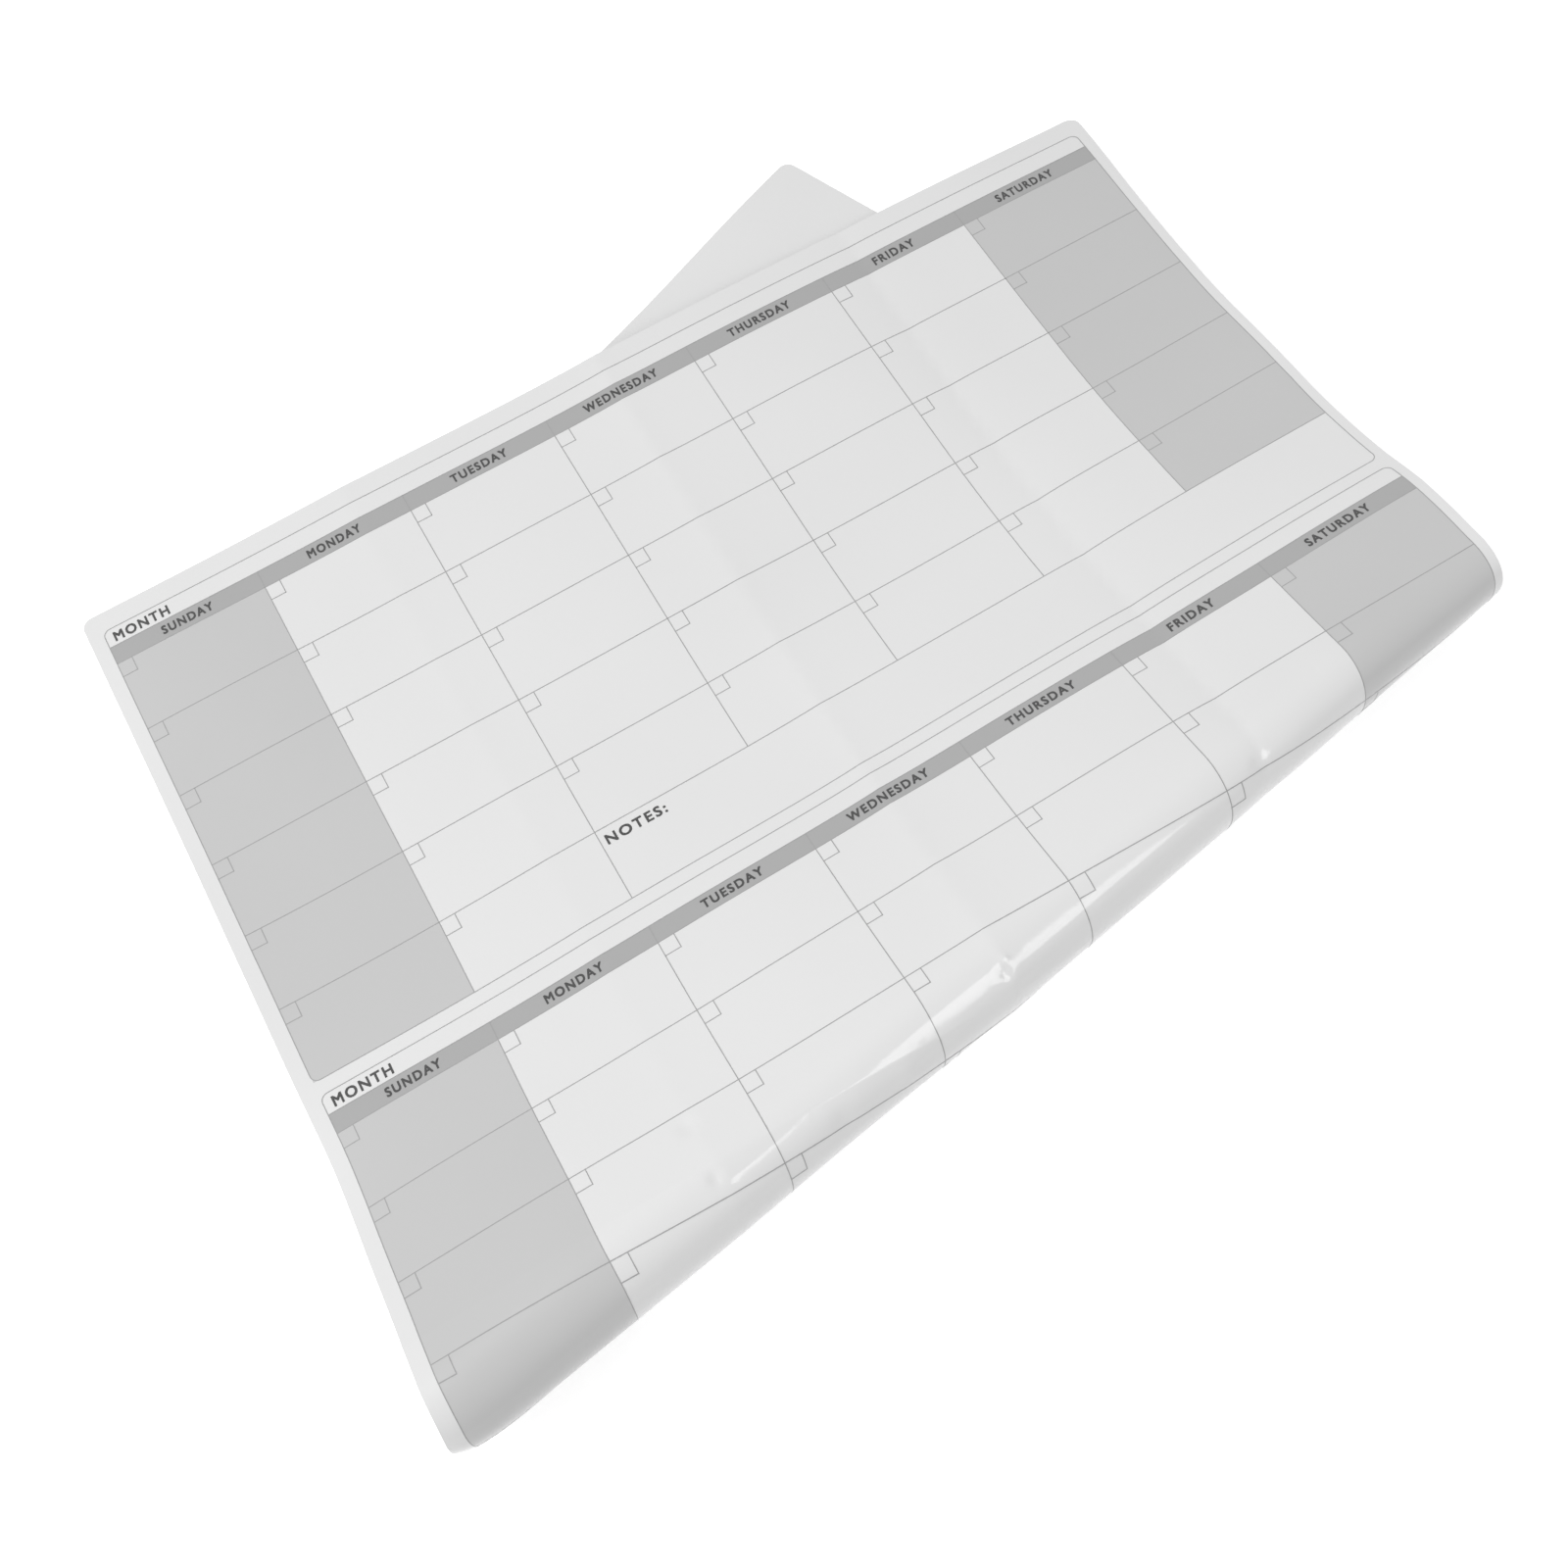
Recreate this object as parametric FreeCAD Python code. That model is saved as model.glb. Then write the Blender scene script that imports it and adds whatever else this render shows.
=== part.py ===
import FreeCAD, Part
import math
import os
from FreeCAD import Matrix, Vector

# Laminated three month wall calendar, 24 by 36 inches, lying folded over under itself.
# The sheet is first drawn flat, seen from its printed side: x runs across from the middle of its
# width, and y runs up from the line where the sheet lifts off the surface that it lies on.
# Each panel of that drawing is then laid on a plane or rolled round a cylinder, unstretched.
# In space X runs along the fold and Z is up. The printed side is the outside of the fold.

# Sheet
width = 609.6
height = 914.4
thickness = 0.3
corner_radius = 6.0

# Main fold
lift_distance = 532.0       # from the top edge, down the middle, to where the sheet lifts off
fold_skew = 9.1             # degrees between the fold and the top edge
rise_radius = 49.0          # first bend, up from the surface
rise_angle = 65.0
crown_radius = 21.0         # tight bend at the top of the fold
upper_slope = 16.3          # degrees by which the upper layer slopes down behind the crown
settle_radius = 480.0       # gentle bend back to level
settle_height = 6.3         # printed side of the upper layer above the surface, where it is level

# Lower left corner, tucked over on to the back of the lying part
tuck_start = 4.0            # along the left edge, from the lift line
tuck_reach = 300.0          # along the bottom edge, from the left edge
tuck_radius = 2.4

# Print, flush in the printed side
months = 3
weekdays = 7
rows = 6                    # the last one has the first two days only, and then a space for notes
side_margin = 7.2
top_margin = 12.0
title_height = 11.2
weekday_height = 11.3
row_height = 45.1
month_gap = 8.3
frame_radius = 4.0
line_width = 0.5            # the ruled lines, which part the fields
ink_depth = 0.1

column_width = (width - 2 * side_margin) / weekdays
month_height = title_height + weekday_height + rows * row_height
sheet_reach = width + height
join_tolerance = 0.001
arc_points = 9              # points that a rounded corner is carried on to a bend by
same_way = 1                # both edges of a wall run the same way


def heading(turn):
    """Way across the fold, after the sheet has turned up from the surface by this angle."""
    return Vector(0, -math.cos(turn), math.sin(turn))


def inward(turn):
    """Way from the printed side into the sheet at the same place."""
    return Vector(0, math.sin(turn), math.cos(turn))


def frame_matrix(x, y, z, origin):
    return Matrix(x.x, y.x, z.x, origin.x, x.y, y.y, z.y, origin.y, x.z, y.z, z.z, origin.z, 0, 0, 0, 1)


def drawn_polygon(corners):
    return Part.Face(Part.makePolygon(corners + corners[:1]))


def drawn_rectangle(left, bottom, right, top, radius=0):
    corners = [Vector(left, bottom), Vector(right, bottom), Vector(right, top), Vector(left, top)]
    if not radius:
        return drawn_polygon(corners)
    edges = []
    for index, corner in enumerate(corners):
        before = (corners[index - 1] - corner).normalize() * radius
        after = (corners[(index + 1) % 4] - corner).normalize() * radius
        next_before = corners[(index + 1) % 4] - after
        middle = corner + (before + after) * (1 - math.sqrt(0.5))
        edges.append(Part.Arc(corner + before, middle, corner + after).toShape())
        edges.append(Part.LineSegment(corner + after, next_before).toShape())
    return Part.Face(Part.Wire(edges))


class Panel:
    """A stretch of the sheet between two parallel lines of the flat drawing, and its place in space.

    zero is a point of the drawing that distances are taken from, and along is the way of the lines.
    point is where zero's place on the first line lies in space, axis is the lines' way there, travel
    is the way across, and bend is the turn per length towards the back, or 0 where it is flat.
    """

    def __init__(self, zero, along, start, end, point, axis, travel, bend):
        self.zero = zero
        self.along = along
        self.across = Vector(-along.y, along.x)
        self.start = start
        self.end = end
        self.point = point
        self.axis = axis
        self.travel = travel
        self.outward = axis.cross(travel)
        self.bend = bend
        self.cylinders = {}

    def region(self):
        """The panel's stretch of the drawing, wider than the sheet."""
        low = self.zero + self.across * self.start
        high = self.zero + self.across * self.end
        reach = self.along * sheet_reach
        return drawn_polygon([low - reach, low + reach, high + reach, high - reach])

    def holds_end_line(self, drawn):
        for line in (self.start, self.end):
            gaps = [abs((point - self.zero).dot(self.across) - line) for point in drawn.discretize(3)]
            if max(gaps) < join_tolerance:
                return True
        return False

    def cylinder(self, depth):
        if depth not in self.cylinders:
            side = math.copysign(1, self.bend)
            radius = abs(1 / self.bend)
            radial = self.outward * side
            surface = Part.Cylinder()
            surface.Radius = radius - side * depth
            surface.transform(frame_matrix(radial, self.travel, self.axis, self.point - radial * radius))
            self.cylinders[depth] = surface
        return self.cylinders[depth]

    def laid_edge(self, drawn, depth):
        """The drawn edge at this depth below the printed side of the folded sheet."""
        if not self.bend:
            flat = frame_matrix(self.along, self.across, Vector(0, 0, 1), self.zero + self.across * self.start)
            laid = frame_matrix(self.axis, self.travel, self.outward, self.point - self.outward * depth)
            return drawn.transformed(laid * flat.inverse())
        straight = isinstance(drawn.Curve, Part.Line)
        points = drawn.discretize(2 if straight else arc_points)
        if points[0].distanceToPoint(drawn.firstVertex(True).Point) > join_tolerance:
            points.reverse()
        places = []
        for point in points:
            offset = point - self.zero
            angle = (offset.dot(self.across) - self.start) * abs(self.bend)
            places.append(FreeCAD.Base.Vector2d(angle, offset.dot(self.along)))
        if straight:
            return Part.Geom2d.Line2dSegment(places[0], places[1]).toShape(self.cylinder(depth))
        curve = Part.Geom2d.BSplineCurve2d()
        curve.interpolate(places)
        return curve.toShape(self.cylinder(depth))

    def face_inside(self, loop, depth):
        if not self.bend:
            return Part.Face(loop)
        face = Part.Face(self.cylinder(depth), loop)
        if face.isValid():
            return face
        return Part.Face(self.cylinder(depth), loop.reversed())    # the loop ran round the other way

    def laid_face(self, drawn, depth):
        outer = drawn.OuterWire
        loops = [outer] + [wire for wire in drawn.Wires if not wire.isSame(outer)]
        laid = []
        for loop in loops:
            laid.append(Part.Wire([self.laid_edge(edge, depth) for edge in loop.OrderedEdges]))
        face = self.face_inside(laid[0], depth)
        if len(laid) > 1:
            face.cutHoles(laid[1:])
            face.validate()
        return face

    def wall(self, drawn, upper, lower):
        """The sheet's cut edge, or the side of an inked field, between two depths."""
        return Part.makeRuledSurface(self.laid_edge(drawn, upper), self.laid_edge(drawn, lower), same_way)


def main_fold():
    """The panels across the main fold, from the lying part to the level end of the upper layer."""
    along = Vector(math.cos(math.radians(fold_skew)), math.sin(math.radians(fold_skew)))
    rise = math.radians(rise_angle)
    slope = math.radians(upper_slope)
    crown = math.pi + slope - rise
    crown_height = rise_radius * (1 - math.cos(rise)) + crown_radius * (math.cos(rise) + math.cos(slope))
    slope_drop = crown_height - settle_radius * (1 - math.cos(slope)) - settle_height
    stretches = (
        (rise_radius * rise, 1 / rise_radius),
        (crown_radius * crown, 1 / crown_radius),
        (slope_drop / math.sin(slope), 0),
        (settle_radius * slope, -1 / settle_radius),
        (sheet_reach, 0))
    origin = Vector(0, 0)
    axis = Vector(1, 0, 0)
    panels = [Panel(origin, along, -sheet_reach, 0, heading(0) * -sheet_reach, axis, heading(0), 0)]
    start = 0
    turn = 0
    point = Vector(0, 0, 0)
    for length, bend in stretches:
        panels.append(Panel(origin, along, start, start + length, point, axis, heading(turn), bend))
        next_turn = turn + length * bend
        step = (inward(turn) - inward(next_turn)) / bend if bend else heading(turn) * length
        point = point + step
        start += length
        turn = next_turn
    return panels


def corner_tuck(lying):
    """The bend and the flap of the tucked corner, which start from the lying panel."""
    lift_at_edge = -width / 2 * math.tan(math.radians(fold_skew))
    first = Vector(-width / 2, lift_at_edge - tuck_start)
    last = Vector(-width / 2 + tuck_reach, lift_distance - height)
    along = (first - last).normalize()
    across = Vector(-along.y, along.x)

    def on_surface(drawn):
        return Vector(drawn.dot(lying.along), -drawn.dot(lying.across), 0)

    bend_length = math.pi * tuck_radius
    point = on_surface(first)
    axis = on_surface(along)
    travel = on_surface(across)
    raised = point + Vector(0, 0, 2 * tuck_radius)
    bend = Panel(first, along, 0, bend_length, point, axis, travel, 1 / tuck_radius)
    flap = Panel(first, along, bend_length, sheet_reach, raised, axis, travel * -1, 0)
    return [bend, flap]


fold_panels = main_fold()
tuck_panels = corner_tuck(fold_panels[0])
all_panels = fold_panels + tuck_panels


def divided(drawn):
    """Pairs of a panel and a connected face, which together make up a face of the flat drawing."""
    bend, flap = tuck_panels
    beyond_tuck = bend.region().fuse(flap.region()).removeSplitter()
    pieces = []
    for panels, part in ((fold_panels, drawn.cut(beyond_tuck)), (tuck_panels, drawn.common(beyond_tuck))):
        for panel in panels:
            pieces += [(panel, face) for face in part.common(panel.region()).Faces]
    return pieces


def outline_walls(pieces, upper, lower):
    walls = []
    for panel, face in pieces:
        for edge in face.Edges:
            if not any(other.holds_end_line(edge) for other in all_panels):
                walls.append(panel.wall(edge, upper, lower))
    return walls


def closed_solid(faces):
    shell = Part.makeCompound(faces)
    shell.sewShape(join_tolerance)
    solid = Part.Solid(shell.Shells[0])
    if solid.Volume < 0:
        solid.reverse()
    return solid


def laid_faces(pieces, depth):
    return [panel.laid_face(face, depth) for panel, face in pieces]


def inked_solid(drawn):
    """A printed field of the flat drawing as a solid, flush in the printed side."""
    pieces = divided(drawn)
    faces = laid_faces(pieces, 0) + laid_faces(pieces, ink_depth) + outline_walls(pieces, 0, ink_depth)
    return closed_solid(faces)


def sheet_solid(outline, printed):
    """The whole folded sheet, with a recess in its printed side for everything printed."""
    bare = divided(outline.cut(printed))
    recess = [piece for drawn in printed for piece in divided(drawn)]
    whole = divided(outline)
    faces = laid_faces(bare, 0) + laid_faces(recess, ink_depth) + laid_faces(whole, thickness)
    faces += outline_walls(recess, 0, ink_depth) + outline_walls(whole, 0, thickness)
    return closed_solid(faces)


def month_print(top):
    """The weekday strip and the two weekend columns of the month whose frame starts at this height."""
    half = line_width / 2
    left = side_margin - width / 2
    right = width / 2 - side_margin
    strip_top = top - title_height
    strip_bottom = strip_top - weekday_height
    bottom = strip_bottom - rows * row_height
    frame = drawn_rectangle(left + half, bottom + half, right - half, top - half, frame_radius - half)

    def field(low_x, low_y, high_x, high_y):
        box = drawn_rectangle(low_x + half, low_y + half, high_x - half, high_y - half)
        return box.common(frame).Faces[0]

    strip = field(left, strip_bottom, right, strip_top)
    first_column = field(left, bottom, left + column_width, strip_bottom)
    last_column = field(right - column_width, bottom + row_height, right, strip_bottom)
    return strip, [first_column, last_column]


outline = drawn_rectangle(-width / 2, lift_distance - height, width / 2, lift_distance, corner_radius)
weekday_strips = []
weekend_columns = []
for month in range(months):
    strip, columns = month_print(lift_distance - top_margin - month * (month_height + month_gap))
    weekday_strips.append(strip)
    weekend_columns += columns
sheet = sheet_solid(outline, weekday_strips + weekend_columns)

# Reference point: the middle of the space that the sheet takes up, on the surface that it lies on
box = sheet.optimalBoundingBox(False, False)
to_reference = Vector(-(box.XMin + box.XMax) / 2, -(box.YMin + box.YMax) / 2, 0)

os.makedirs("parts", exist_ok=True)
nodes = {
    "sheet": [sheet],
    "weekday_strips": [inked_solid(drawn) for drawn in weekday_strips],
    "weekend_columns": [inked_solid(drawn) for drawn in weekend_columns],
}
for name, solids in nodes.items():
    shape = solids[0] if len(solids) == 1 else Part.makeCompound(solids)
    shape.translate(to_reference)
    shape.exportStep(os.path.join("parts", name + ".step"))
    print(name, len(shape.Solids), shape.isValid(), round(shape.Volume, 3), shape.BoundBox)
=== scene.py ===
import math

import bmesh
import bpy
import numpy as np
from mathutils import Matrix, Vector
from mathutils.geometry import delaunay_2d_cdt


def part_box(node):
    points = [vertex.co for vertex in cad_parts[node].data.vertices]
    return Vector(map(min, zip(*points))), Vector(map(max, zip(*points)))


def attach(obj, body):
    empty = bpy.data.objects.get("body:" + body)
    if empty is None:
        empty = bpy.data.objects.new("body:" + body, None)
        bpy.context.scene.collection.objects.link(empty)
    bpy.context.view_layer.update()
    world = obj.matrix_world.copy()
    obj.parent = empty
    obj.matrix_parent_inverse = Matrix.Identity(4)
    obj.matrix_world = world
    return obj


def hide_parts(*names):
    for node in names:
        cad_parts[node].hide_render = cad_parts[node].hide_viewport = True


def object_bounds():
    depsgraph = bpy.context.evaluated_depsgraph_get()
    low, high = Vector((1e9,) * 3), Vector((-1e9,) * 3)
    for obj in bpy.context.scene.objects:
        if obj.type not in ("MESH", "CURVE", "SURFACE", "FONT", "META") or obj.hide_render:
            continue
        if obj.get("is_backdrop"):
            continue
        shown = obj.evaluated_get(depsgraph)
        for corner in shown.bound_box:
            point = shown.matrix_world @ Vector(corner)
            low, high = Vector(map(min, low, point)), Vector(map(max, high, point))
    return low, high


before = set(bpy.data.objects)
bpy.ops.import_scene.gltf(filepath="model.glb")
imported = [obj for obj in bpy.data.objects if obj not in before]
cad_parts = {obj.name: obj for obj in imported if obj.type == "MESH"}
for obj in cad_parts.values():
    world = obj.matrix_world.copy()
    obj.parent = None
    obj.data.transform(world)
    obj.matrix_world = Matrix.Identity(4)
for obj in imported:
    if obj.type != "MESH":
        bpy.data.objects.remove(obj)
cad_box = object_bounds()

# Laminated sheet
# Paper between two clear films, 24 by 36 inches, with rounded corners. It lies on its printed side
# and is folded over in a soft loop, and its hidden corner is tucked over on to its own back.
sheet_width = 0.6096
sheet_length = 0.9144
sheet_thickness = 0.0003
corner_radius = 0.006
lift_distance = 0.532          # from the top edge, down the middle, to where the sheet lifts off
fold_skew = math.radians(9.1)
rise_radius = 0.049
rise_angle = math.radians(65)
crown_radius = 0.021
upper_slope = math.radians(16.3)
settle_radius = 0.48
settle_height = 0.0063
tuck_start = 0.004
tuck_reach = 0.3
tuck_radius = 0.0024


def fold_stretches():
    """Length and bend of each stretch across the fold: rise, crown, ramp and settling back to level."""
    crown_angle = math.pi + upper_slope - rise_angle
    rise_top = rise_radius * (1 - math.cos(rise_angle))
    crown_top = rise_top + crown_radius * (math.cos(rise_angle) + math.cos(upper_slope))
    drop = crown_top - settle_radius * (1 - math.cos(upper_slope)) - settle_height
    return (
        (rise_radius * rise_angle, 1 / rise_radius),
        (crown_radius * crown_angle, 1 / crown_radius),
        (drop / math.sin(upper_slope), 0),
        (settle_radius * upper_slope, -1 / settle_radius),
        (sheet_length, 0))


def along_and_across(x, y):
    """Distances along the fold and across it: the flat drawing's x and y turned by the fold's skew."""
    along = x * math.cos(fold_skew) + y * math.sin(fold_skew)
    return along, y * math.cos(fold_skew) - x * math.sin(fold_skew)


def folded(x, y, depth):
    """Place of the flat drawing's points on the folded sheet, at a depth below the printed side.

    On a stretch with bend k the turn grows by k times the run, and the place moves by the change of
    the turn's sine and cosine over k. Then depth is taken inwards, along the turn's sine and cosine.
    """
    along, across = along_and_across(x, y)
    away = np.maximum(-across, 0)
    height = np.zeros_like(across)
    turn = np.zeros_like(across)
    start = 0
    for length, bend in fold_stretches():
        run = np.clip(across - start, 0, length)
        next_turn = turn + bend * run
        if bend:
            away -= (np.sin(next_turn) - np.sin(turn)) / bend
            height += (np.cos(turn) - np.cos(next_turn)) / bend
        else:
            away -= np.cos(turn) * run
            height += np.sin(turn) * run
        turn = next_turn
        start += length
    return np.stack([along, away + depth * np.sin(turn), height + depth * np.cos(turn)], axis=-1)


# The tuck's line in the flat drawing, and the way from it towards the hidden corner
tuck_first = np.array([-sheet_width / 2, -sheet_width / 2 * math.tan(fold_skew) - tuck_start])
tuck_last = np.array([-sheet_width / 2 + tuck_reach, lift_distance - sheet_length])
tuck_along = (tuck_first - tuck_last) / np.linalg.norm(tuck_first - tuck_last)
tuck_across = np.array([-tuck_along[1], tuck_along[0]])
tuck_bend_length = math.pi * tuck_radius


def past_tuck(x, y):
    """Distance past the tuck's line, and the nearest point of that line."""
    past = (x - tuck_first[0]) * tuck_across[0] + (y - tuck_first[1]) * tuck_across[1]
    return past, x - past * tuck_across[0], y - past * tuck_across[1]


def tucked(x, y, depth):
    """The hidden corner: round a half circle at the tuck's line, and then back over the lying part."""
    past, line_x, line_y = past_tuck(x, y)
    turn = np.clip(past, 0, tuck_bend_length) / tuck_radius
    run = np.maximum(past - tuck_bend_length, 0)
    reach = (tuck_radius - depth) * np.sin(turn) - run
    along, across = along_and_across(line_x, line_y)
    way = np.array(along_and_across(*tuck_across))
    height = tuck_radius - (tuck_radius - depth) * np.cos(turn)
    return np.stack([along + way[0] * reach, -across - way[1] * reach, height], axis=-1)


def bump(value, middle, spread):
    """A smooth hill of height 1: e to the minus square of the distance from its middle over its spread."""
    return np.exp(-((value - middle) / spread) ** 2)


def hills(value, table):
    """The sum of smooth hills, each given by its height, middle and spread."""
    return sum(height * bump(value, middle, spread) for height, middle, spread in table)


def rise_between(value, low, high):
    """A smooth step from 0 at low to 1 at high: the cubic 3 t squared less 2 t cubed."""
    t = np.clip((value - low) / (high - low), 0, 1)
    return t * t * (3 - 2 * t)


# Shipping creases, at quarters of the sheet, and the small dents that the film took on the loop
crease_spots = (-sheet_width / 4, 0, sheet_width / 4)
crease_heights = (0.0005, 0.0011, -0.0013)
crease_spread = 0.016
row_crease_spots = tuple(lift_distance - sheet_length * quarter for quarter in (0.25, 0.5, 0.75))
row_crease_height = 0.0004
row_crease_spread = 0.009
fold_mark_height = 0.0001      # the sharp line in the film along the middle crease
fold_mark_width = 0.0008
long_wave = 0.0006             # slow waves over the whole raised layer
short_wave = 0.0004
dents = (                      # x, distance from the top edge, depth (below zero for a rise) and spread
    (-0.0018, 0.447, 0.0007, 0.0030),
    (0.0010, 0.4415, -0.0004, 0.002),
    (-0.1558, 0.463, 0.0008, 0.0030),
    (-0.1558, 0.434, 0.0006, 0.0045),
    (0.1492, 0.422, 0.0004, 0.0035),
    (-0.0600, 0.4665, -0.0005, 0.006),
    (-0.0950, 0.4685, 0.0005, 0.005))


def relief(x, y):
    """Height of creases, dents and slow waves over the smooth folded sheet, on its raised layer.

    The waves are sines, a crease is e to the minus distance over its spread, and a dent is a hill.
    """
    along, across = along_and_across(x, y)
    down = lift_distance - y
    height = long_wave * np.sin(x * 21 + 0.6) * np.sin(down * 17 + 0.4)
    height += short_wave * np.sin(x * 34 - down * 23)
    for spot, crease_height in zip(crease_spots, crease_heights):
        height += crease_height * np.exp(-np.abs(x - spot) / crease_spread)
    for spot in row_crease_spots:
        height += row_crease_height * np.exp(-np.abs(y - spot) / row_crease_spread)
    mark = np.exp(-np.abs(y - row_crease_spots[1]) / fold_mark_width)
    height += fold_mark_height * mark * bump(x, -0.08, 0.06)
    for dent_x, dent_down, dent_depth, spread in dents:
        height -= dent_depth * bump(x, dent_x, spread) * bump(down, dent_down, spread)
    return height * rise_between(across, 0.035, 0.085)


# How the real sheet slid off the even fold, by distance from the top edge: step, middle and spread
left_edge_waves = (            # up, at the left edge
    (0.0030, 0.235, 0.07),
    (-0.0040, 0.37, 0.042))
right_edge_waves = (           # up, at the right edge
    (0.0038, 0.2, 0.045),
    (0.0018, 0.33, 0.02),
    (-0.0048, 0.388, 0.026))
right_edge_steps = (           # along the fold, at the right edge
    (0.0027, 0.37, 0.06),
    (-0.0018, 0.13, 0.09))
loop_pull = 0.0029             # to the front, all along the loop
left_pull = 0.0028             # more of it at the loop's left end
right_push = 0.0095            # and back again towards its right end
right_narrowing = 0.0056       # of the right edge, most where the crown has just turned over
crown_spot = 0.11              # distance across the fold to there
loop_end_step = 0.0052         # of the loop's left end, backwards
loop_end_reach = 0.0004        # and outwards
loop_shift = 0.001             # of the whole loop, to the left
raised_shift = 0.0012          # and of all that is lifted off
top_lean = 0.0038              # of the raised layer's top, to the right
left_lean = 0.0023             # and of its left edge, to the left
left_edge_step = 0.0018        # of its left edge beside the loop, to the right
front_step = 0.0008            # of the raised layer, to the front
front_turn = 0.0028            # and more of it at the top right
corner_dip = 0.0054            # of the free corner at the top right, towards the floor
corner_flare = 0.0030          # and outwards
corner_turn = math.radians(3.45)     # of the lying layer's far corner, about a pivot behind it
pivot_along = 0.101
pivot_away = 0.570
far_step = 0.0015              # of that corner, to the front
far_lift = 0.0012              # and up from the floor
far_wave = 0.0008              # with a slow wave in it
hidden_step = 0.018            # of the lying layer beside the tuck


def loop_slide(x, along, across):
    """Steps along, away and up of the loop, which narrows to its right and flares at its left end.

    The pull is a cubic of the way along the loop. The right edge steps in by the power 1.5 of its
    nearness, most at the crown, and the left end steps back within a few millimetres of its edge.
    """
    loop = rise_between(across, -0.01, 0.035) * (1 - rise_between(across, 0.055, 0.105))
    way = np.clip((along + 0.3) / 0.6, 0, 1.1)
    pull = right_push * way ** 3 - loop_pull - left_pull * np.maximum(1 - way, 0) ** 3
    right = np.clip((x - 0.125) / 0.18, 0, 1) ** 1.5
    narrow = -right_narrowing * right * bump(across, crown_spot, np.where(across < crown_spot, 0.055, 0.142))
    end = np.exp(-(x + sheet_width / 2) / 0.008) * bump(across, 0.058, 0.022)
    step_along = narrow - loop_end_reach * end - raised_shift * rise_between(across, 0, 0.08)
    step_along = step_along - loop_shift * loop
    return step_along, pull * loop + loop_end_step * end, 0


def raised_slide(x, down):
    """Steps along, away and up of the raised layer: it leans as it nears the top, and its edges wave."""
    raised = 1 - rise_between(down, 0.36, 0.45)
    lean = top_lean * bump(x, 0.09, 0.19) * (1 - down / 0.33)
    step_along = raised * (lean - left_lean * bump(x, -0.31, 0.17))
    step_along += rise_between(x, 0.16, 0.305) * hills(down, right_edge_steps)
    step_along += corner_flare * np.exp((x - sheet_width / 2) / 0.009) * bump(down, 0, 0.06)
    step_along += left_edge_step * bump(x, -0.31, 0.06) * bump(down, 0.36, 0.05)
    far_right = np.clip((x + 0.15) / 0.45, 0, 1)
    step_away = -raised * (front_step + front_turn * far_right * (1 - down / 0.17))
    lift = -corner_dip * np.clip(x / (sheet_width / 4) - 1, 0, 1) * np.clip(1 - down / 0.13, 0, 1)
    lift += np.exp(-(x + sheet_width / 2) / 0.07) * hills(down, left_edge_waves)
    lift += rise_between(x, 0.2, 0.3) * hills(down, right_edge_waves)
    return step_along, step_away, lift


def lying_slide(along, across, place):
    """Steps along, away and up of the lying layer: its far corner is turned about a point behind it.

    A small turn moves a point by the angle times its distance from the pivot. Near the tuck the layer
    steps in from the left, so that it stays hidden under the loop.
    """
    away = np.where(across < 0, place[..., 1], 0)
    turned = corner_turn * rise_between(away, 0.13, 0.33)
    under = (1 - rise_between(across, 0.02, 0.075)) * (1 - rise_between(away, 0.03, 0.16))
    far = rise_between(away, 0.34, 0.42)
    step_along = turned * (pivot_away - away) + hidden_step * under * bump(place[..., 0], -0.32, 0.09)
    step_away = turned * (place[..., 0] - pivot_along) - far_step * far
    return step_along, step_away, (far_lift + far_wave * np.sin(along * 40)) * far


def slide(x, y, place):
    """How far the real sheet lies from the even fold, as steps along X, along Y and up."""
    along, across = along_and_across(x, y)
    parts = (
        loop_slide(x, along, across),
        raised_slide(x, lift_distance - y),
        lying_slide(along, across, place))
    return sum(np.stack(np.broadcast_arrays(*part), axis=-1) for part in parts)


def evenly_laid(x, y, depth):
    """Place of the flat drawing's points on the even fold and tuck, without relief or slide."""
    past, _, _ = past_tuck(x, y)
    return np.where(past[..., None] > 0, tucked(x, y, depth), folded(x, y, depth))


def lay(x, y, depth):
    """Place of the flat drawing's points in space: the even place, with relief outwards and slide."""
    place = evenly_laid(x, y, depth)
    outward = folded(x, y, -1) - folded(x, y, 0)
    return place + outward * relief(x, y)[..., None] + slide(x, y, place)


def outline_points(left, bottom, right, top, radius, step):
    """A rounded rectangle's points in order: four quarter circles with straight runs between them."""
    points = []
    centres = (
        (right - radius, bottom + radius, -math.pi / 2), (right - radius, top - radius, 0),
        (left + radius, top - radius, math.pi / 2), (left + radius, bottom + radius, math.pi))
    for index, (x, y, first_turn) in enumerate(centres):
        turns = first_turn + np.linspace(0, math.pi / 2, 9)
        corner = np.stack([x + radius * np.cos(turns), y + radius * np.sin(turns)], -1)
        next_x, next_y, next_turn = centres[(index + 1) % 4]
        target = np.array([next_x + radius * math.cos(next_turn), next_y + radius * math.sin(next_turn)])
        count = max(1, round(np.linalg.norm(target - corner[-1]) / step))
        parts = np.arange(1, count)[:, None] / count
        points += [corner, corner[-1] + (target - corner[-1]) * parts]
    return np.concatenate(points)


def line_points(first, last, step):
    """Evenly spaced points from one end to the other."""
    count = max(1, math.ceil(np.linalg.norm(np.subtract(last, first)) / step))
    return np.asarray(first) + np.subtract(last, first) * np.linspace(0, 1, count + 1)[:, None]


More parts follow.
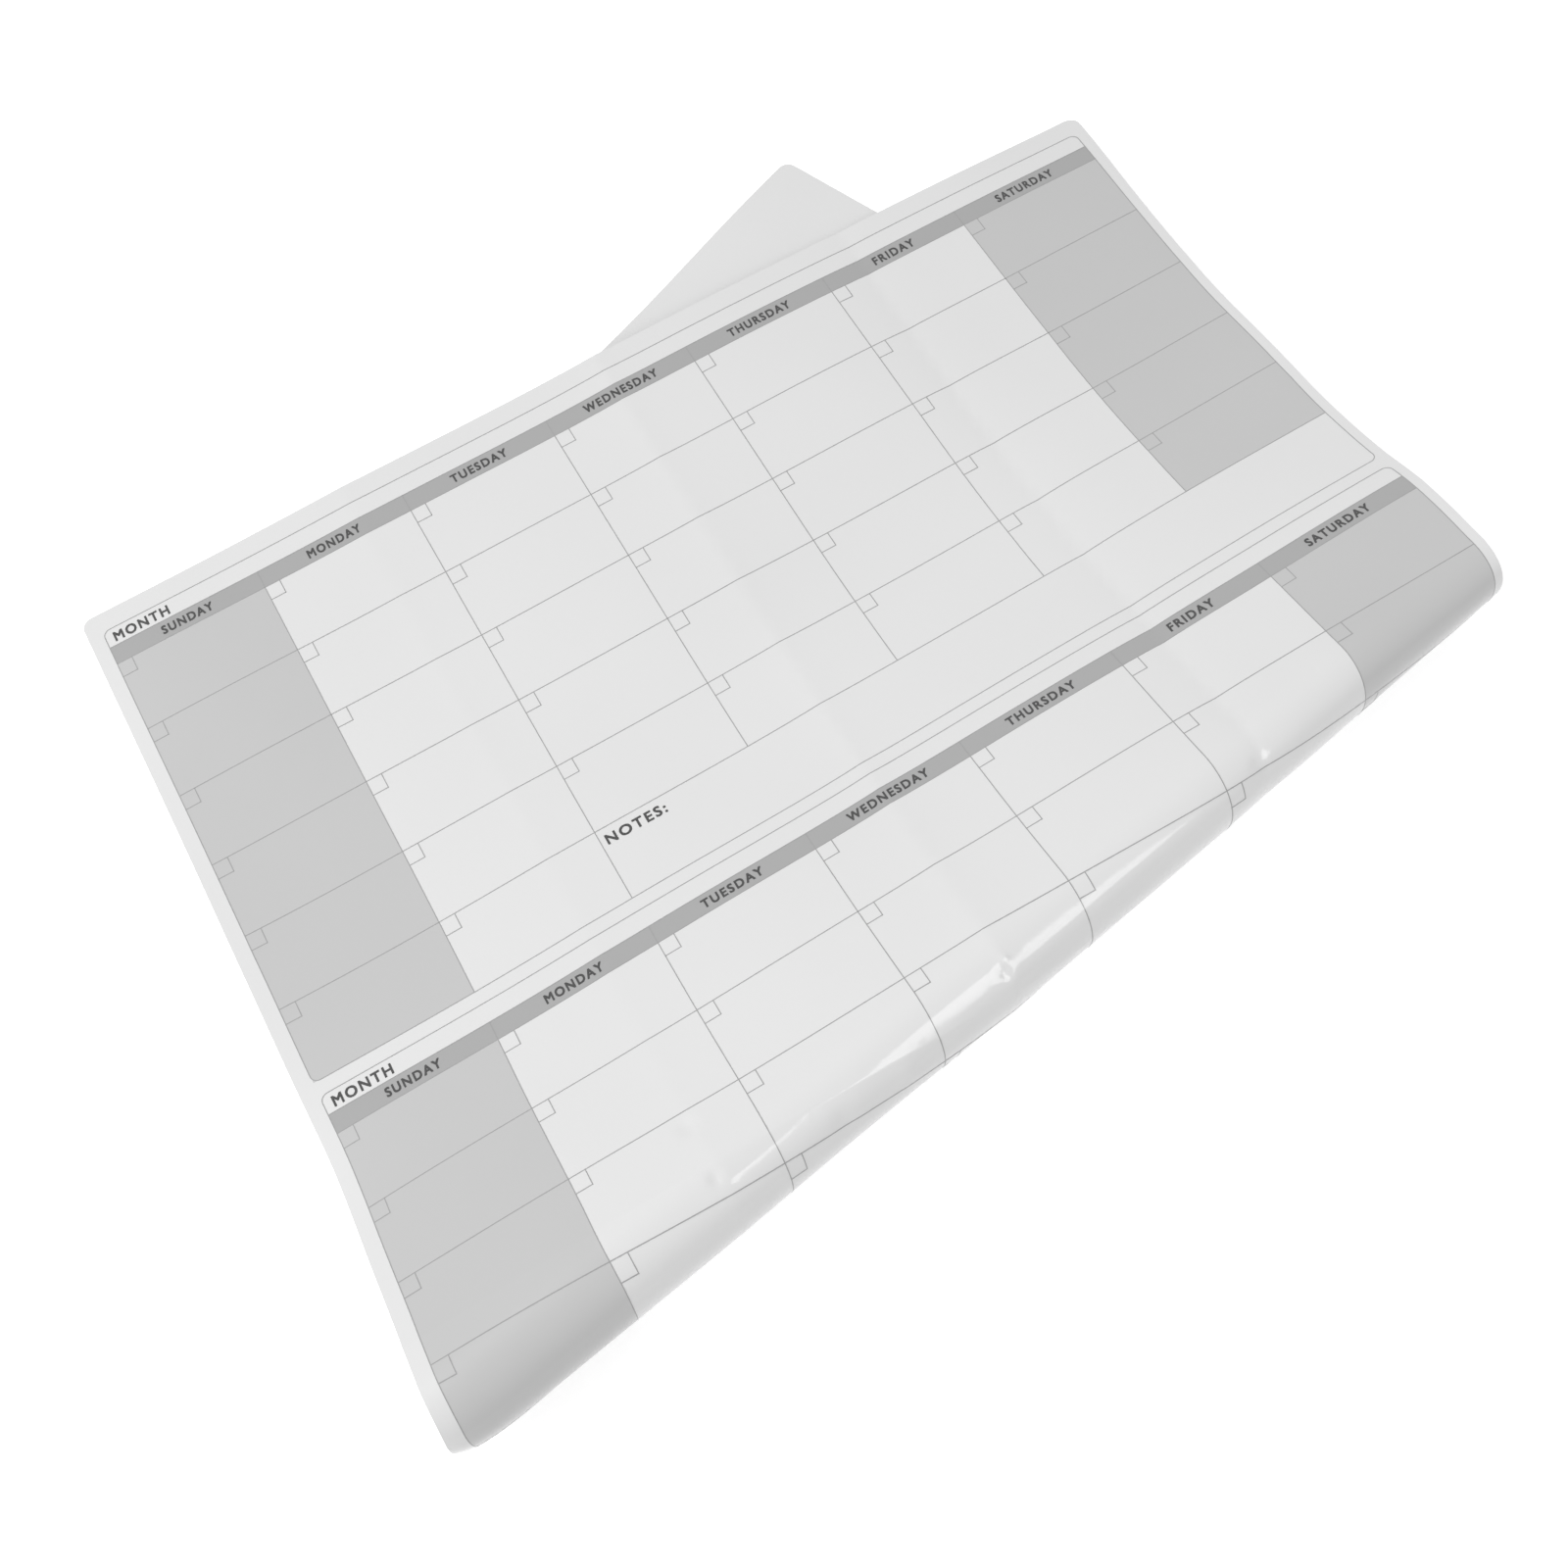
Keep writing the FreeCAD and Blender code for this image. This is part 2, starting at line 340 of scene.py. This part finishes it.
# Print layout, from the sheet's left edge and top edge
months = 3
weekdays = 7
rows = 6
left_margin = 0.0083
right_margin = 0.0054
top_margin = 0.0122
title_height = 0.0112
weekday_height = 0.0113
row_height = 0.0451
month_gap = 0.0083
frame_radius = 0.004
line_width = 0.00045
column_width = (sheet_width - left_margin - right_margin) / weekdays
month_height = title_height + weekday_height + rows * row_height
print_left = left_margin - sheet_width / 2
print_right = sheet_width / 2 - right_margin
month_tops = [lift_distance - top_margin - month * (month_height + month_gap) for month in range(months)]


def field_boxes(month_top):
    """Left, bottom, right and top of a month's weekday strip, and of its two weekend columns."""
    half = line_width / 2
    strip_top = month_top - title_height
    strip_bottom = strip_top - weekday_height
    bottom = strip_bottom - rows * row_height
    strip = (print_left + half, strip_bottom + half, print_right - half, strip_top - half)
    first = (print_left + half, bottom + half, print_left + column_width - half, strip_bottom - half)
    last_left = print_right - column_width
    last = (last_left + half, bottom + row_height + half, print_right - half, strip_bottom - half)
    return strip, (first, last)


strip_boxes = [field_boxes(top)[0] for top in month_tops]
weekend_boxes = [box for top in month_tops for box in field_boxes(top)[1]]

# The flat drawing's edges, and the steps between its points
sheet_left = -sheet_width / 2
sheet_bottom = lift_distance - sheet_length
sheet_middle = lift_distance - sheet_length / 2
edge_step = 0.0025             # between points on the outline and round the fields
line_step = 0.003              # on the creases
fill_step = 0.005              # on the tuck's lines and in the open sheet
fold_step = 0.0018             # between rows on the fold's tight bends
tuck_facets = 12
rows_start = -1.0              # distance across the fold to the filling's first row
fine_start = -0.004            # to the first row of the fold's tight bends
rows_end = 0.7                 # and to the last row
rows_reach = 0.45              # of the rows along the fold, to both sides
grid_shift = (0.0003, 0.0002)  # of a dent's small grid, off the creases and rows
tuck_overrun = 0.02            # of the tuck's lines, past the sheet's edges
clear_distance = 0.0012        # that the filling keeps from all edges
welded_distance = 1e-7


def box_loop(box):
    """A box's outline as points in order, from its lower left corner."""
    left, bottom, right, top = box
    corners = ((left, bottom), (right, bottom), (right, top), (left, top))
    sides = [line_points(corners[side], corners[(side + 1) % 4], edge_step)[:-1] for side in range(4)]
    return np.concatenate(sides)


def crease_lines():
    """Points along each crease, and along both feet of the sharp one."""
    mark_spots = (row_crease_spots[1] - fold_mark_width, row_crease_spots[1] + fold_mark_width)
    lines = [line_points((spot, sheet_bottom), (spot, lift_distance), line_step) for spot in crease_spots]
    for spot in row_crease_spots + mark_spots:
        lines.append(line_points((sheet_left, spot), (-sheet_left, spot), line_step))
    return lines


def tuck_lines():
    """Points along the tuck's bend, on lines that part its half circle into equal facets."""
    length = np.linalg.norm(tuck_first - tuck_last)
    lines = []
    for index in range(tuck_facets + 1):
        first = tuck_first + tuck_across * tuck_bend_length / tuck_facets * index + tuck_along * tuck_overrun
        lines.append(line_points(first, first - tuck_along * (length + 2 * tuck_overrun), fill_step))
    return lines


def filling_points(creases):
    """Staggered rows of points along the fold and small grids on the dents, clear of all edges."""
    across_rows = np.concatenate([
        np.arange(rows_start, fine_start, fill_step),
        np.arange(fine_start, crown_spot, fold_step),
        np.arange(crown_spot, rows_end, fill_step)])
    along, across = np.meshgrid(np.arange(-rows_reach, rows_reach, fill_step), across_rows)
    along = along + fill_step / 2 * (np.arange(len(across_rows)) % 2)[:, None]
    filling = np.stack([along * math.cos(fold_skew) - across * math.sin(fold_skew),
                        along * math.sin(fold_skew) + across * math.cos(fold_skew)], -1).reshape(-1, 2)
    for dent_x, dent_down, _, spread in dents:
        grid = np.stack(np.meshgrid(*[np.linspace(-2, 2, 13) * spread] * 2), -1).reshape(-1, 2)
        middle = (dent_x + grid_shift[0], lift_distance - dent_down + grid_shift[1])
        filling = np.concatenate([filling, grid + middle])
    beyond = np.abs(filling - (0, sheet_middle)) - (sheet_width / 2, sheet_length / 2)
    kept = beyond.max(axis=1) < -clear_distance
    past, _, _ = past_tuck(filling[:, 0], filling[:, 1])
    kept &= (past < -clear_distance) | (past > tuck_bend_length + clear_distance)
    for left, bottom, right, top in strip_boxes + weekend_boxes:
        beyond = np.abs(filling - ((left + right) / 2, (bottom + top) / 2))
        beyond -= ((right - left) / 2, (top - bottom) / 2)
        kept &= np.abs(beyond.max(axis=1)) > clear_distance
    for line in creases:
        axis = 0 if line[0][0] == line[-1][0] else 1
        kept &= np.abs(filling[:, axis] - line[0][axis]) > clear_distance
    return filling[kept]


def flat_mesh():
    """Points and triangles of the flat sheet, with edges along its outline, fields, creases and tuck.

    All the loops, lines and filling go into one Delaunay triangulation, and the triangles inside the
    rounded outline are kept.
    """
    outline = outline_points(sheet_left, sheet_bottom, -sheet_left, lift_distance, corner_radius, edge_step)
    loops = [outline] + [box_loop(box) for box in strip_boxes + weekend_boxes]
    creases = crease_lines()
    lines = creases + tuck_lines()
    points = np.concatenate(loops + lines + [filling_points(creases)])
    edges = []
    start = 0
    for loop in loops:
        edges += [(start + index, start + (index + 1) % len(loop)) for index in range(len(loop))]
        start += len(loop)
    for line in lines:
        edges += [(start + index, start + index + 1) for index in range(len(line) - 1)]
        start += len(line)
    result = delaunay_2d_cdt([Vector(point) for point in points], edges, [], 0, welded_distance)
    flat = np.array([tuple(point) for point in result[0]])
    triangles = np.array(result[2])
    beyond = np.abs(flat[triangles].mean(axis=1) - (0, sheet_middle))
    beyond -= (sheet_width / 2 - corner_radius, sheet_length / 2 - corner_radius)
    rounded = np.hypot(*np.maximum(beyond, 0).T) < corner_radius
    return flat, triangles[rounded & (beyond.max(axis=1) < corner_radius)]


def shell_mesh(name, flat, triangles, outer, inner):
    """A closed shell: the flat triangles at two depths, the inner ones turned over, and a rim."""
    used, triangles = np.unique(triangles, return_inverse=True)
    triangles = triangles.reshape(-1, 3)
    x, y = flat[used].T
    count = len(used)
    corners = flat[used][triangles]
    first, second = corners[:, 1] - corners[:, 0], corners[:, 2] - corners[:, 0]
    clockwise = first[:, 0] * second[:, 1] < first[:, 1] * second[:, 0]
    triangles[clockwise] = triangles[clockwise][:, ::-1]
    edges = np.concatenate([triangles[:, [0, 1]], triangles[:, [1, 2]], triangles[:, [2, 0]]])
    free = edges[~np.isin(edges[:, 0] * count + edges[:, 1], edges[:, 1] * count + edges[:, 0])]
    rim = np.concatenate([
        np.stack([free[:, 1], free[:, 0], free[:, 0] + count], -1),
        np.stack([free[:, 1], free[:, 0] + count, free[:, 1] + count], -1)])
    faces = np.concatenate([triangles, triangles[:, ::-1] + count, rim])
    outer = np.broadcast_to(outer, len(flat))[used]
    places = np.concatenate([lay(x, y, outer), lay(x, y, inner)]) + to_row_frame
    mesh = bpy.data.meshes.new(name)
    mesh.from_pydata(places, [], faces.tolist())
    mesh.shade_smooth()
    loops = np.empty(len(mesh.loops), dtype=int)
    mesh.loops.foreach_get("vertex_index", loops)
    from_corner = flat[used][loops % count] - (sheet_left, sheet_bottom)
    mesh.uv_layers.new(name="flat").data.foreach_set("uv", from_corner.ravel())
    mesh.set_sharp_from_angle(angle=math.radians(40))
    piece = bpy.data.objects.new(name, mesh)
    bpy.context.scene.collection.objects.link(piece)
    return piece


sheet_flat, sheet_triangles = flat_mesh()
used_x, used_y = sheet_flat[np.unique(sheet_triangles)].T
even_places = np.concatenate([evenly_laid(used_x, used_y, depth) for depth in (0, sheet_thickness)])
to_row_frame = (np.sum(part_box("sheet"), axis=0) - even_places.min(axis=0) - even_places.max(axis=0)) / 2


def film_material(name, colour, mottle):
    """Glossy clear film over printed paper: a coat over a softer body, with faint mottling and ripple."""
    material = bpy.data.materials.new(name)
    material.use_nodes = True
    nodes, links = material.node_tree.nodes, material.node_tree.links
    shader = nodes["Principled BSDF"]
    shader.inputs["Roughness"].default_value = 0.42
    shader.inputs["Specular IOR Level"].default_value = 0.35
    shader.inputs["Coat Weight"].default_value = 0.9
    shader.inputs["Coat Roughness"].default_value = 0.09
    shader.inputs["Coat IOR"].default_value = 1.5
    place = nodes.new("ShaderNodeTexCoord")
    clouds = nodes.new("ShaderNodeTexNoise")
    clouds.inputs["Scale"].default_value = 9
    clouds.inputs["Detail"].default_value = 5
    links.new(place.outputs["Object"], clouds.inputs["Vector"])
    tint = nodes.new("ShaderNodeMix")
    tint.data_type = "RGBA"
    tint.inputs["A"].default_value = (*[value * (1 - mottle) for value in colour], 1)
    tint.inputs["B"].default_value = (*[min(1, value * (1 + mottle)) for value in colour], 1)
    links.new(clouds.outputs["Fac"], tint.inputs["Factor"])
    links.new(tint.outputs["Result"], shader.inputs["Base Color"])
    ripple = nodes.new("ShaderNodeTexNoise")
    ripple.inputs["Scale"].default_value = 55
    ripple.inputs["Detail"].default_value = 3
    links.new(place.outputs["Object"], ripple.inputs["Vector"])
    ripple_bump = nodes.new("ShaderNodeBump")
    ripple_bump.inputs["Strength"].default_value = 0.12
    ripple_bump.inputs["Distance"].default_value = 0.0006
    links.new(ripple.outputs["Fac"], ripple_bump.inputs["Height"])
    links.new(ripple_bump.outputs["Normal"], shader.inputs["Normal"])
    links.new(ripple_bump.outputs["Normal"], shader.inputs["Coat Normal"])
    return material


sheet = shell_mesh("laminated_sheet", sheet_flat, sheet_triangles, 0, sheet_thickness)
sheet.data.materials.append(film_material("white_film", (0.742, 0.742, 0.742), 0.02))
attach(sheet, "root")
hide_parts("sheet")

# Grey fields of print
# The weekday strips and the weekend columns, printed on the paper under the film. They share the
# sheet's own triangles, and stand a hair proud of it so that no face lies in another.
field_lift = 0.00004
field_depth = 0.0001
triangle_middles = sheet_flat[sheet_triangles].mean(axis=1)


def inside_boxes(boxes):
    """Which of the sheet's triangles lie in one of the boxes."""
    x, y = triangle_middles.T
    return np.any([(x > box[0]) & (x < box[2]) & (y > box[1]) & (y < box[3]) for box in boxes], axis=0)


for name, boxes, node, slot, grey in (
        ("weekday_strip_print", strip_boxes, "weekday_strips", "strip_ink", 0.375),
        ("weekend_column_print", weekend_boxes, "weekend_columns", "weekend_ink", 0.53)):
    field = shell_mesh(name, sheet_flat, sheet_triangles[inside_boxes(boxes)], -field_lift, field_depth)
    field.data.materials.append(film_material(name, (grey, grey, grey), 0.03))
    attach(field, "root")
    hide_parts(node)

# Ruled lines and date boxes
# Hairlines printed in dark grey: a rounded frame round each month, the strip's edges, the weeks, the
# days, and a small box for the date in the corner of each day.
line_lift = 0.00011
box_width = 0.0084
box_height = 0.009
bend_step = 0.0018             # between points of lines that run down over the loop
level_step = 0.0025            # and of lines that run along it
tuck_edge = 0.0006             # the longest edge of print on the tuck's bend
tuck_halvings = 5              # of an edge, at most


def ribbon(points, width, closed=False):
    """Points and triangles of a flat line: each point moved half a width to both sides of its way."""
    if closed:
        way = np.roll(points, -1, axis=0) - np.roll(points, 1, axis=0)
    else:
        way = np.gradient(points, axis=0)
    side = np.stack([-way[:, 1], way[:, 0]], -1) / np.linalg.norm(way, axis=1)[:, None] * width / 2
    count = len(points)
    first = np.arange(count if closed else count - 1)
    after = (first + 1) % count
    triangles = np.concatenate([
        np.stack([first, first + count, after], -1), np.stack([after, first + count, after + count], -1)])
    return np.concatenate([points + side, points - side]), triangles


def joined(parts):
    """Several flat meshes as one."""
    starts = np.cumsum([0] + [len(points) for points, _ in parts])
    triangles = np.concatenate([part[1] + start for part, start in zip(parts, starts)])
    return np.concatenate([points for points, _ in parts]), triangles


def finer_on_tuck(flat, triangles):
    """The same flat mesh with its longer edges on the tuck's bend halved, so that they follow it."""
    mesh = bmesh.new()
    corners = [mesh.verts.new((x, y, 0)) for x, y in flat]
    for triangle in triangles:
        mesh.faces.new([corners[index] for index in triangle])
    for _ in range(tuck_halvings):
        middles = np.array([(edge.verts[0].co + edge.verts[1].co)[:2] for edge in mesh.edges]) / 2
        lengths = np.array([edge.calc_length() for edge in mesh.edges])
        near = np.abs(past_tuck(*middles.T)[0] - tuck_bend_length / 2) < (tuck_bend_length + lengths) / 2
        cut = [edge for edge, chosen in zip(mesh.edges, near & (lengths > tuck_edge)) if chosen]
        bmesh.ops.subdivide_edges(mesh, edges=cut, cuts=1)
        bmesh.ops.triangulate(mesh, faces=mesh.faces)
    mesh.verts.index_update()
    flat = np.array([tuple(corner.co)[:2] for corner in mesh.verts])
    triangles = np.array([[corner.index for corner in face.verts] for face in mesh.faces])
    mesh.free()
    return flat, triangles


def month_lines(month_top):
    """The frame, week lines and day lines of the month whose frame starts at this height."""
    strip_top = month_top - title_height
    strip_bottom = strip_top - weekday_height
    bottom = month_top - month_height
    frame_line = outline_points(print_left, bottom, print_right, month_top, frame_radius, level_step)
    parts = [ribbon(frame_line, line_width, closed=True)]
    for height in [strip_top] + [strip_bottom - row * row_height for row in range(rows)]:
        points = line_points((print_left, height), (print_right, height), level_step)
        parts.append(ribbon(points, line_width))
    for column in range(1, weekdays):
        x = print_left + column * column_width
        end = bottom if column <= 2 else bottom + row_height
        parts.append(ribbon(line_points((x, strip_top), (x, end), bend_step), line_width))
    return parts


def month_boxes(month_top):
    """The right and lower side of the date box in each day's upper left corner."""
    parts = []
    for row in range(rows):
        high = month_top - title_height - weekday_height - row * row_height
        low = high - box_height
        for column in range(weekdays if row < rows - 1 else 2):
            left = print_left + column * column_width
            right = left + box_width
            foot = low - line_width / 2
            parts.append(ribbon(line_points((right, high), (right, foot), bend_step), line_width))
            parts.append(ribbon(line_points((left, low), (right, low), level_step), line_width))
    return parts


line_grey = film_material("line_print", (0.34, 0.34, 0.34), 0.04)
for name, lines_of in (("ruled_lines", month_lines), ("date_boxes", month_boxes)):
    flat, triangles = finer_on_tuck(*joined([part for top in month_tops for part in lines_of(top)]))
    lines = shell_mesh(name, flat, triangles, -line_lift, field_depth)
    lines.data.materials.append(line_grey)
    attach(lines, "root")

# Lettering
# Plain bold capitals in near black: the day's name in each cell of the strips, the word for the
# month at the start of each frame, and the word for notes in the last row.
letter_lift = 0.00013
letter_step = 0.000006
bold_shift = 0.0002
letter_gap = 1.25              # of the type's own spacing
curve_parts = 4


def flat_word(text, left, middle, height, length):
    """Points and triangles of a word in plain capitals, as long and as high as given, from its left."""
    curve = bpy.data.curves.new(text, "FONT")
    curve.body = text
    curve.space_character = letter_gap
    curve.resolution_u = curve_parts
    word = bpy.data.objects.new(text, curve)
    mesh = bpy.data.meshes.new_from_object(word)
    mesh.calc_loop_triangles()
    points = np.empty(len(mesh.vertices) * 3)
    mesh.vertices.foreach_get("co", points)
    points = points.reshape(-1, 3)[:, :2]
    triangles = np.empty(len(mesh.loop_triangles) * 3, dtype=int)
    mesh.loop_triangles.foreach_get("vertices", triangles)
    low, high = points.min(axis=0), points.max(axis=0)
    scale = (np.array([length, height]) - 2 * bold_shift) / (high - low)
    points = (points - (low[0], (low[1] + high[1]) / 2)) * scale + (left + bold_shift, middle)
    return points, triangles.reshape(-1, 3)


def bold(flat, triangles):
    """Four copies of thin lettering, shifted to all sides and each a little prouder, that read as bold."""
    shifts = np.array([(-1, -1), (1, -1), (-1, 1), (1, 1)]) * bold_shift
    points, corners = joined([(flat + shift, triangles) for shift in shifts])
    return points, corners, -letter_lift - np.repeat(range(4), len(flat)) * letter_step


# Each day's name, and the length of its word
names = (("SUNDAY", 0.0290), ("MONDAY", 0.0307), ("TUESDAY", 0.0327), ("WEDNESDAY", 0.0440),
         ("THURSDAY", 0.0377), ("FRIDAY", 0.0257), ("SATURDAY", 0.0363))
name_height = 0.0056
title_capital = 0.0063
title_middle = 0.54            # of the month's title row, from its top
month_start = 0.0045           # from the frame's left side
month_length = 0.0314
notes_start = 0.003            # from the second day line
notes_drop = 0.0075            # from the last row's upper line
notes_length = 0.0328
words = []
titles = []
for top in month_tops:
    strip_middle = top - title_height - weekday_height / 2
    for column, (text, length) in enumerate(names):
        left = print_left + (column + 0.5) * column_width - length / 2
        words.append(flat_word(text, left, strip_middle, name_height, length))
    month_middle = top - title_height * title_middle
    titles.append(flat_word("MONTH", print_left + month_start, month_middle, title_capital, month_length))
    notes_left = print_left + 2 * column_width + notes_start
    notes_middle = top - month_height + row_height - notes_drop
    titles.append(flat_word("NOTES:", notes_left, notes_middle, title_capital, notes_length))
ink = film_material("letter_print", (0.03, 0.03, 0.03), 0.04)
for name, parts in (("weekday_names", words), ("month_and_notes_words", titles)):
    flat, triangles = finer_on_tuck(*joined(parts))
    lettering = shell_mesh(name, *bold(flat, triangles), field_depth)
    lettering.data.materials.append(ink)
    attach(lettering, "root")

# Floor, light and camera
# A white floor under a pale sky of even light, a long lamp that the loop's crown mirrors, a broad
# one overhead, and the photograph's own point of view.
floor_size = 30
floor_drop = 0.0002


def seen_rays(nodes, links):
    """A socket that is 1 for rays that show a surface: from the camera, off gloss or through glass."""
    path = nodes.new("ShaderNodeLightPath")
    seen = path.outputs["Is Camera Ray"]
    for ray in ("Is Glossy Ray", "Is Transmission Ray"):
        either = nodes.new("ShaderNodeMath")
        either.operation = "MAXIMUM"
        links.new(seen, either.inputs[0])
        links.new(path.outputs[ray], either.inputs[1])
        seen = either.outputs[0]
    return seen


floor_glow = 0.6
floor_mesh = bpy.data.meshes.new("floor")
half = floor_size / 2
corners = [(x, y, -floor_drop) for x, y in ((-half, -half), (half, -half), (half, half), (-half, half))]
floor_mesh.from_pydata(corners, [], [(0, 1, 2, 3)])
floor = bpy.data.objects.new("floor", floor_mesh)
bpy.context.scene.collection.objects.link(floor)
floor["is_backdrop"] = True
floor_material = bpy.data.materials.new("floor")
floor_material.use_nodes = True
nodes, links = floor_material.node_tree.nodes, floor_material.node_tree.links
shader = nodes["Principled BSDF"]
shader.inputs["Base Color"].default_value = (0.8, 0.8, 0.8, 1)
shader.inputs["Roughness"].default_value = 0.9
shader.inputs["Specular IOR Level"].default_value = 0
glow = nodes.new("ShaderNodeMath")
glow.operation = "MULTIPLY"
glow.inputs[1].default_value = floor_glow
links.new(seen_rays(nodes, links), glow.inputs[0])
links.new(glow.outputs[0], shader.inputs["Emission Strength"])
shader.inputs["Emission Color"].default_value = (1, 1, 1, 1)
floor.data.materials.append(floor_material)

world = bpy.data.worlds.new("even_light")
bpy.context.scene.world = world
world.use_nodes = True
nodes, links = world.node_tree.nodes, world.node_tree.links
sky = nodes["Background"]
sky.inputs["Color"].default_value = (1, 1, 1, 1)
strength = nodes.new("ShaderNodeMix")
strength.inputs["A"].default_value = 0.47
strength.inputs["B"].default_value = 1
links.new(seen_rays(nodes, links), strength.inputs["Factor"])
links.new(strength.outputs["Result"], sky.inputs["Strength"])


def add_lamp(name, target, direction, distance, width, height, power):
    """A rectangular lamp that faces a point from a direction."""
    light = bpy.data.lights.new(name, "AREA")
    light.shape = "RECTANGLE"
    light.size = width
    light.size_y = height
    light.energy = power
    lamp = bpy.data.objects.new(name, light)
    away = Vector(direction).normalized()
    lamp.location = Vector(target) + away * distance
    lamp.rotation_euler = away.to_track_quat("Z", "Y").to_euler()
    bpy.context.scene.collection.objects.link(lamp)


add_lamp("crown_lamp", target=(-0.10, -0.225, 0.05), direction=(0.262, -0.658, 0.729), distance=1.5,
         width=0.40, height=0.8, power=3.7)
add_lamp("overhead_lamp", target=(0, 0, 0), direction=(-0.75, 0.35, 1), distance=4,
         width=2.2, height=2.2, power=104)

camera = bpy.data.objects.new("camera", bpy.data.cameras.new("camera"))
camera.location = (-0.22913, -0.51088, 0.94767)
camera.rotation_euler = [math.radians(angle) for angle in (25.933, 6.858, -38.097)]
camera.data.lens = 49.605
bpy.context.scene.collection.objects.link(camera)
bpy.context.scene.camera = camera
bpy.context.scene.view_settings.view_transform = "Standard"

boxes = {"cad": cad_box, "visual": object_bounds()}
